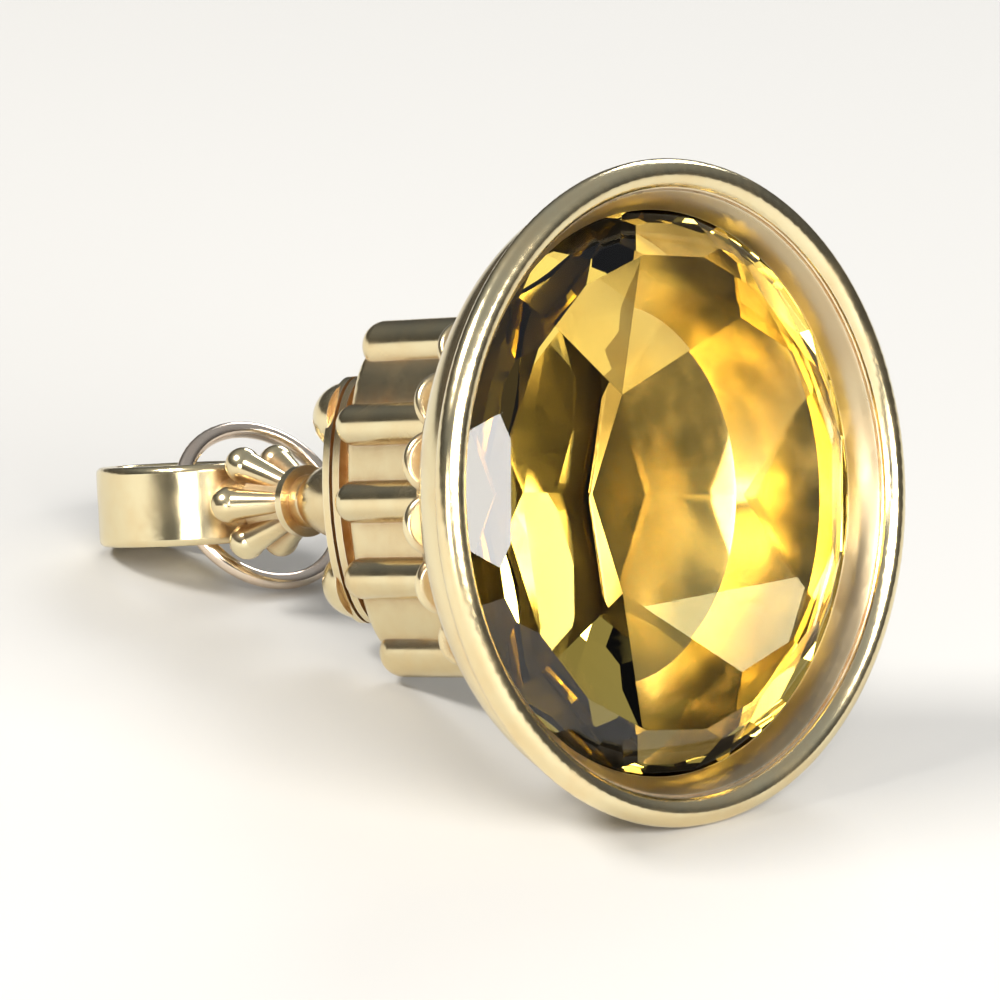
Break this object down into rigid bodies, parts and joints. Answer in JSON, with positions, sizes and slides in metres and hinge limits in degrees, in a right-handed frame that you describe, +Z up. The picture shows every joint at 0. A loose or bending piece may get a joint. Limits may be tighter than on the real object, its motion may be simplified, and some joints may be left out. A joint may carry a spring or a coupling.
{
  "type": "fob seal",
  "caption": "Fob seal with a large oval faceted stone in a round-edged cup, a reeded shank, a domed crown, a petalled knop, and an oval bail with a wire jump ring.",
  "frame": {"origin": "middle of the ground under the whole seal as it lies on its side", "axes": "+Z up; +X towards the stone's face, along the seal's length as it lies; +Y across it"},
  "size_m": [0.029, 0.0192, 0.019],
  "materials": {
    "gold": "polished, softly worn",
    "citrine": "polished facets",
    "ring_gold": "polished"
  },
  "bodies": {
    "seal": {"seal_mount": "gold", "citrine": "citrine"},
    "ring": {"jump_ring": "ring_gold"}
  },
  "joints": [
    {"name": "ring_swing", "type": "hinge", "parent": "seal", "child": "ring", "pos_m": [-0.01045, -0.00003, 0.00243], "axis": [-0.3104, 0.1045, 0.9448], "range_deg": [-20, 238]}
  ]
}
